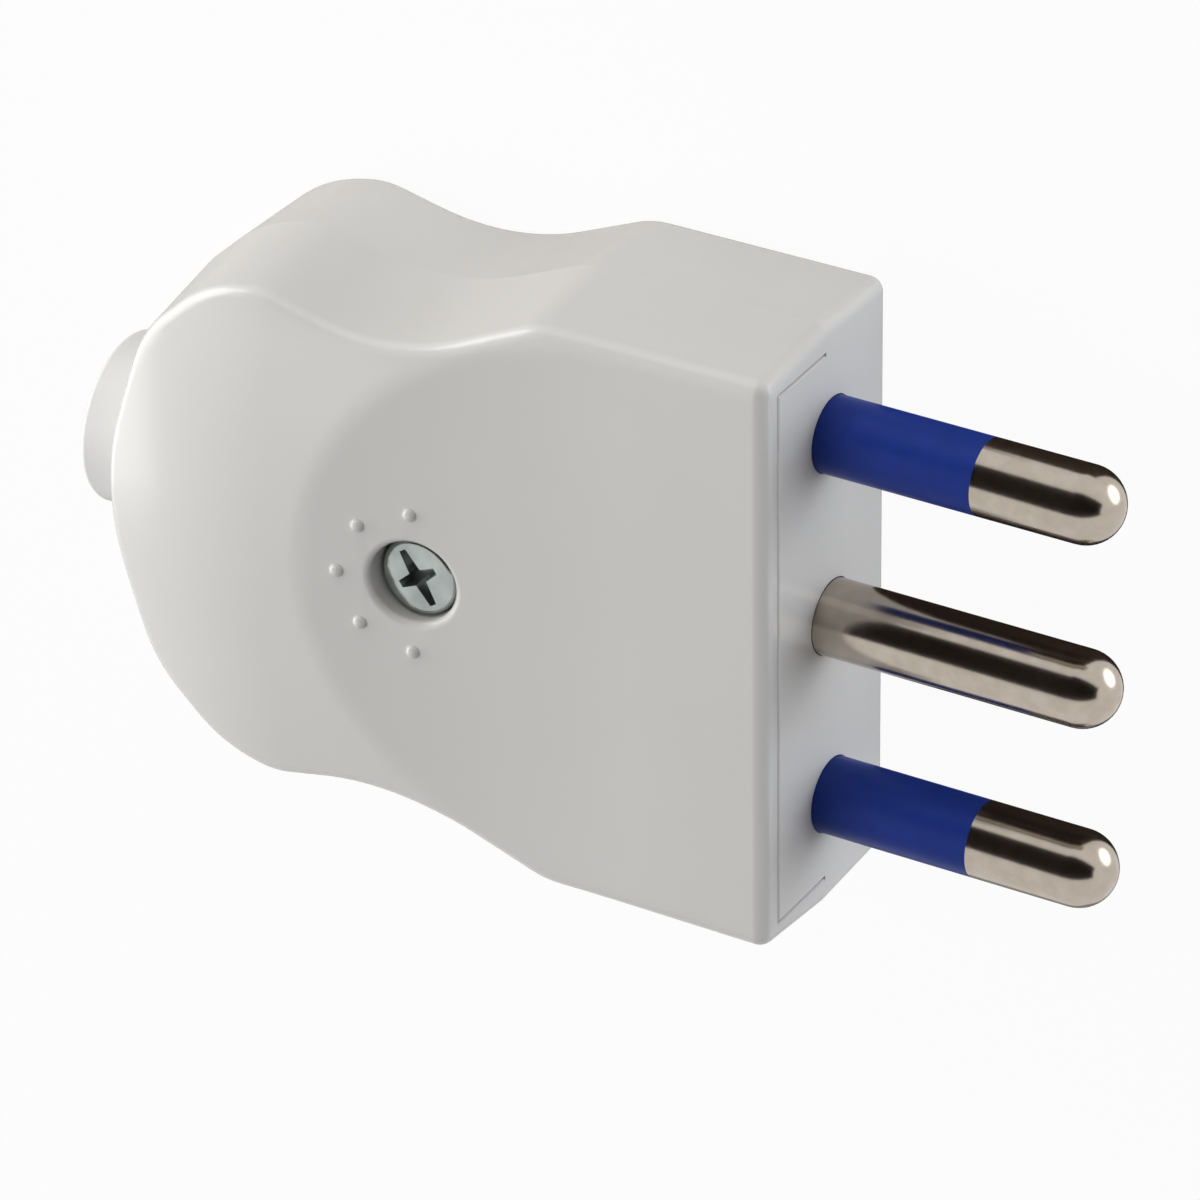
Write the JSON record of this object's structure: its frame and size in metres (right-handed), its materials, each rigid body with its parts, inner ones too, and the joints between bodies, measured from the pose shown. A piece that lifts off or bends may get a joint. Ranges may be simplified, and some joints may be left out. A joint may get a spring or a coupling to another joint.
{
  "type": "compact mains plug",
  "caption": "Compact rewirable mains plug: a flat waisted housing with a domed grip, round pins in line, sleeved outer pins and an axial cord outlet.",
  "frame": {"origin": "on the middle (earth) pin's axis, in the plane of the face that the pins come out of", "axes": "+X out along the pins, +Y along the row of pins towards the live pin, +Z out of the front, the face with the cover screw; the plug lies on its flat back"},
  "size_m": [0.0716, 0.0418, 0.0179],
  "materials": {
    "housing": "satin moulded, off-white",
    "bush": "satin moulded, off-white",
    "pin_metal": "bright nickel plate on brass",
    "sleeve": "smooth, dark blue",
    "screw_steel": "clear zinc plate",
    "insert_brass": "turned"
  },
  "bodies": {
    "root": {"front_shell": "housing", "back_shell": "housing", "cord_bush": "bush", "live_pin": "pin_metal", "earth_pin": "pin_metal", "neutral_pin": "pin_metal", "live_sleeve": "sleeve", "neutral_sleeve": "sleeve", "live_terminal_screw": "screw_steel", "earth_terminal_screw": "screw_steel", "neutral_terminal_screw": "screw_steel", "cover_screw": "screw_steel", "screw_insert": "insert_brass", "cord_clamp": "housing", "clamp_screw_live_side": "screw_steel", "clamp_screw_neutral_side": "screw_steel"}
  },
  "joints": []
}
